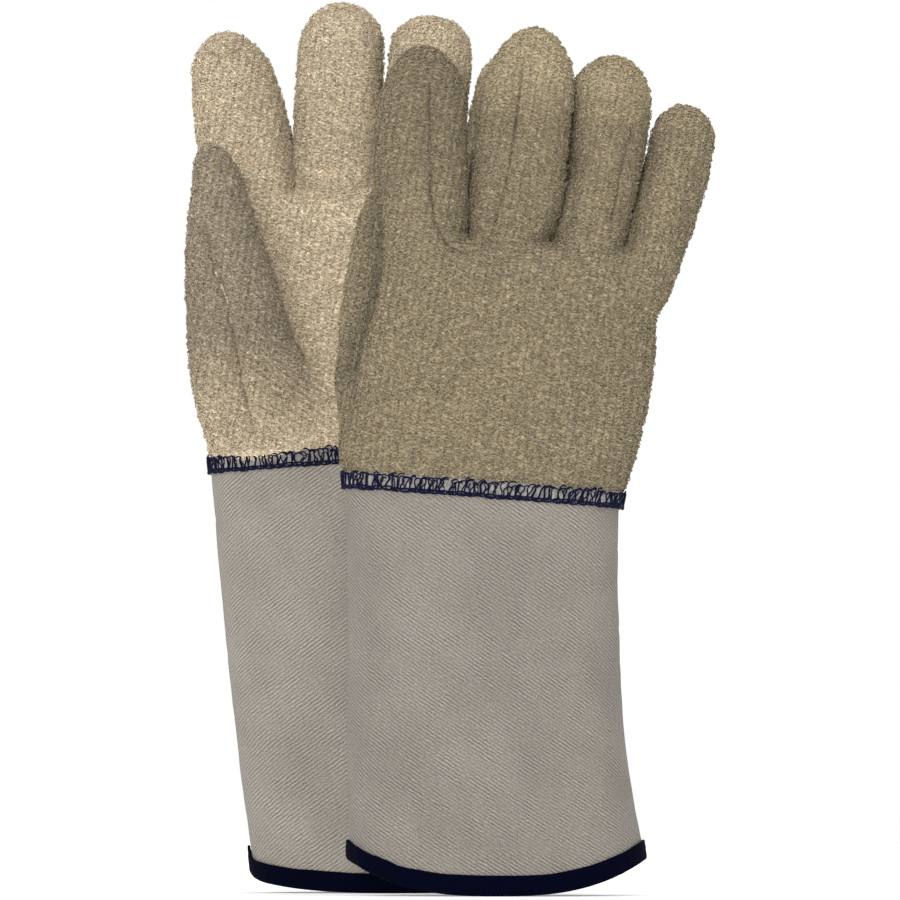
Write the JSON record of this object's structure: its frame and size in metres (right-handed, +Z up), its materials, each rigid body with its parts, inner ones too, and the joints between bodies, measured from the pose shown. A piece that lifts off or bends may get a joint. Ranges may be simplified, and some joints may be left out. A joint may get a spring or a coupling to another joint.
{
  "type": "insulated gauntlet gloves",
  "caption": "Pair of five-finger looped-terry insulating gloves with long twill gauntlet cuffs, a dark bound hem and an overlocked wrist seam, standing on their cuffs.",
  "frame": {"origin": "centre of the bounding box of the two gloves, on the surface that the hems stand on", "axes": "+Z up along the gloves to the fingertips; +X across the hands, from the thumbs to the little fingers; +Y from the right glove to the left glove, whose palms face each other"},
  "size_m": [0.2254, 0.194, 0.377],
  "materials": {
    "terry": "matt looped cotton terry, unbleached",
    "twill": "matt cotton twill, unbleached",
    "binding": "matt navy woven tape",
    "thread": "matt navy overlock thread over undyed cloth"
  },
  "bodies": {
    "left_glove": {"left_cuff_back_panel": "twill", "left_cuff_palm_panel": "twill", "left_hem_binding": "binding", "left_wrist_overlock": "thread", "left_back_panel": "terry", "left_palm_panel": "terry", "left_thumb_base": "terry", "left_fork_index_middle": "terry", "left_fork_middle_ring": "terry", "left_fork_ring_little": "terry"},
    "left_index": {"left_index_back": "terry", "left_index_palm": "terry"},
    "left_middle": {"left_middle_back": "terry", "left_middle_palm": "terry"},
    "left_ring": {"left_ring_back": "terry", "left_ring_palm": "terry"},
    "left_little": {"left_little_back": "terry", "left_little_palm": "terry"},
    "left_thumb": {"left_thumb_back": "terry", "left_thumb_palm": "terry"},
    "right_glove": {"right_cuff_back_panel": "twill", "right_cuff_palm_panel": "twill", "right_hem_binding": "binding", "right_wrist_overlock": "thread", "right_back_panel": "terry", "right_palm_panel": "terry", "right_thumb_base": "terry", "right_fork_index_middle": "terry", "right_fork_middle_ring": "terry", "right_fork_ring_little": "terry"},
    "right_index": {"right_index_back": "terry", "right_index_palm": "terry"},
    "right_middle": {"right_middle_back": "terry", "right_middle_palm": "terry"},
    "right_ring": {"right_ring_back": "terry", "right_ring_palm": "terry"},
    "right_little": {"right_little_back": "terry", "right_little_palm": "terry"},
    "right_thumb": {"right_thumb_back": "terry", "right_thumb_palm": "terry"}
  },
  "joints": [
    {"name": "left_index_bend", "type": "hinge", "parent": "left_glove", "child": "left_index", "pos_m": [-0.08461, 0.053, 0.317], "axis": [0.9912, 0, 0.1322], "range_deg": [0, 70], "stiffness_Nm_per_rad": 0.03},
    {"name": "left_middle_bend", "type": "hinge", "parent": "left_glove", "child": "left_middle", "pos_m": [-0.04571, 0.053, 0.32], "axis": [0.9999, 0, -0.014], "range_deg": [0, 70], "stiffness_Nm_per_rad": 0.03},
    {"name": "left_ring_bend", "type": "hinge", "parent": "left_glove", "child": "left_ring", "pos_m": [-0.00981, 0.053, 0.317], "axis": [0.997, 0, -0.0775], "range_deg": [0, 70], "stiffness_Nm_per_rad": 0.03},
    {"name": "left_little_bend", "type": "hinge", "parent": "left_glove", "child": "left_little", "pos_m": [0.02039, 0.053, 0.309], "axis": [0.9852, 0, -0.1716], "range_deg": [0, 70], "stiffness_Nm_per_rad": 0.03},
    {"name": "left_thumb_swing", "type": "hinge", "parent": "left_glove", "child": "left_thumb", "pos_m": [-0.09493, 0.021, 0.23502], "axis": [0, -1, 0], "range_deg": [0, 40], "stiffness_Nm_per_rad": 0.05},
    {"name": "right_index_bend", "type": "hinge", "parent": "right_glove", "child": "right_index", "pos_m": [-0.00931, -0.053, 0.303], "axis": [-1, 0, 0.01], "range_deg": [0, 70], "stiffness_Nm_per_rad": 0.03},
    {"name": "right_middle_bend", "type": "hinge", "parent": "right_glove", "child": "right_middle", "pos_m": [0.02989, -0.053, 0.306], "axis": [-0.9921, 0, 0.1258], "range_deg": [0, 70], "stiffness_Nm_per_rad": 0.03},
    {"name": "right_ring_bend", "type": "hinge", "parent": "right_glove", "child": "right_ring", "pos_m": [0.06579, -0.053, 0.304], "axis": [-0.9882, 0, 0.153], "range_deg": [0, 70], "stiffness_Nm_per_rad": 0.03},
    {"name": "right_little_bend", "type": "hinge", "parent": "right_glove", "child": "right_little", "pos_m": [0.09549, -0.053, 0.297], "axis": [-0.9693, 0, 0.2459], "range_deg": [0, 70], "stiffness_Nm_per_rad": 0.03},
    {"name": "right_thumb_swing", "type": "hinge", "parent": "right_glove", "child": "right_thumb", "pos_m": [-0.0295, -0.021, 0.22625], "axis": [0, -1, 0], "range_deg": [0, 40], "stiffness_Nm_per_rad": 0.05},
    {"name": "right_glove_lift", "type": "slide", "parent": "left_glove", "child": "right_glove", "axis": [0, 0, 1], "range_m": [0, 0.3]}
  ]
}
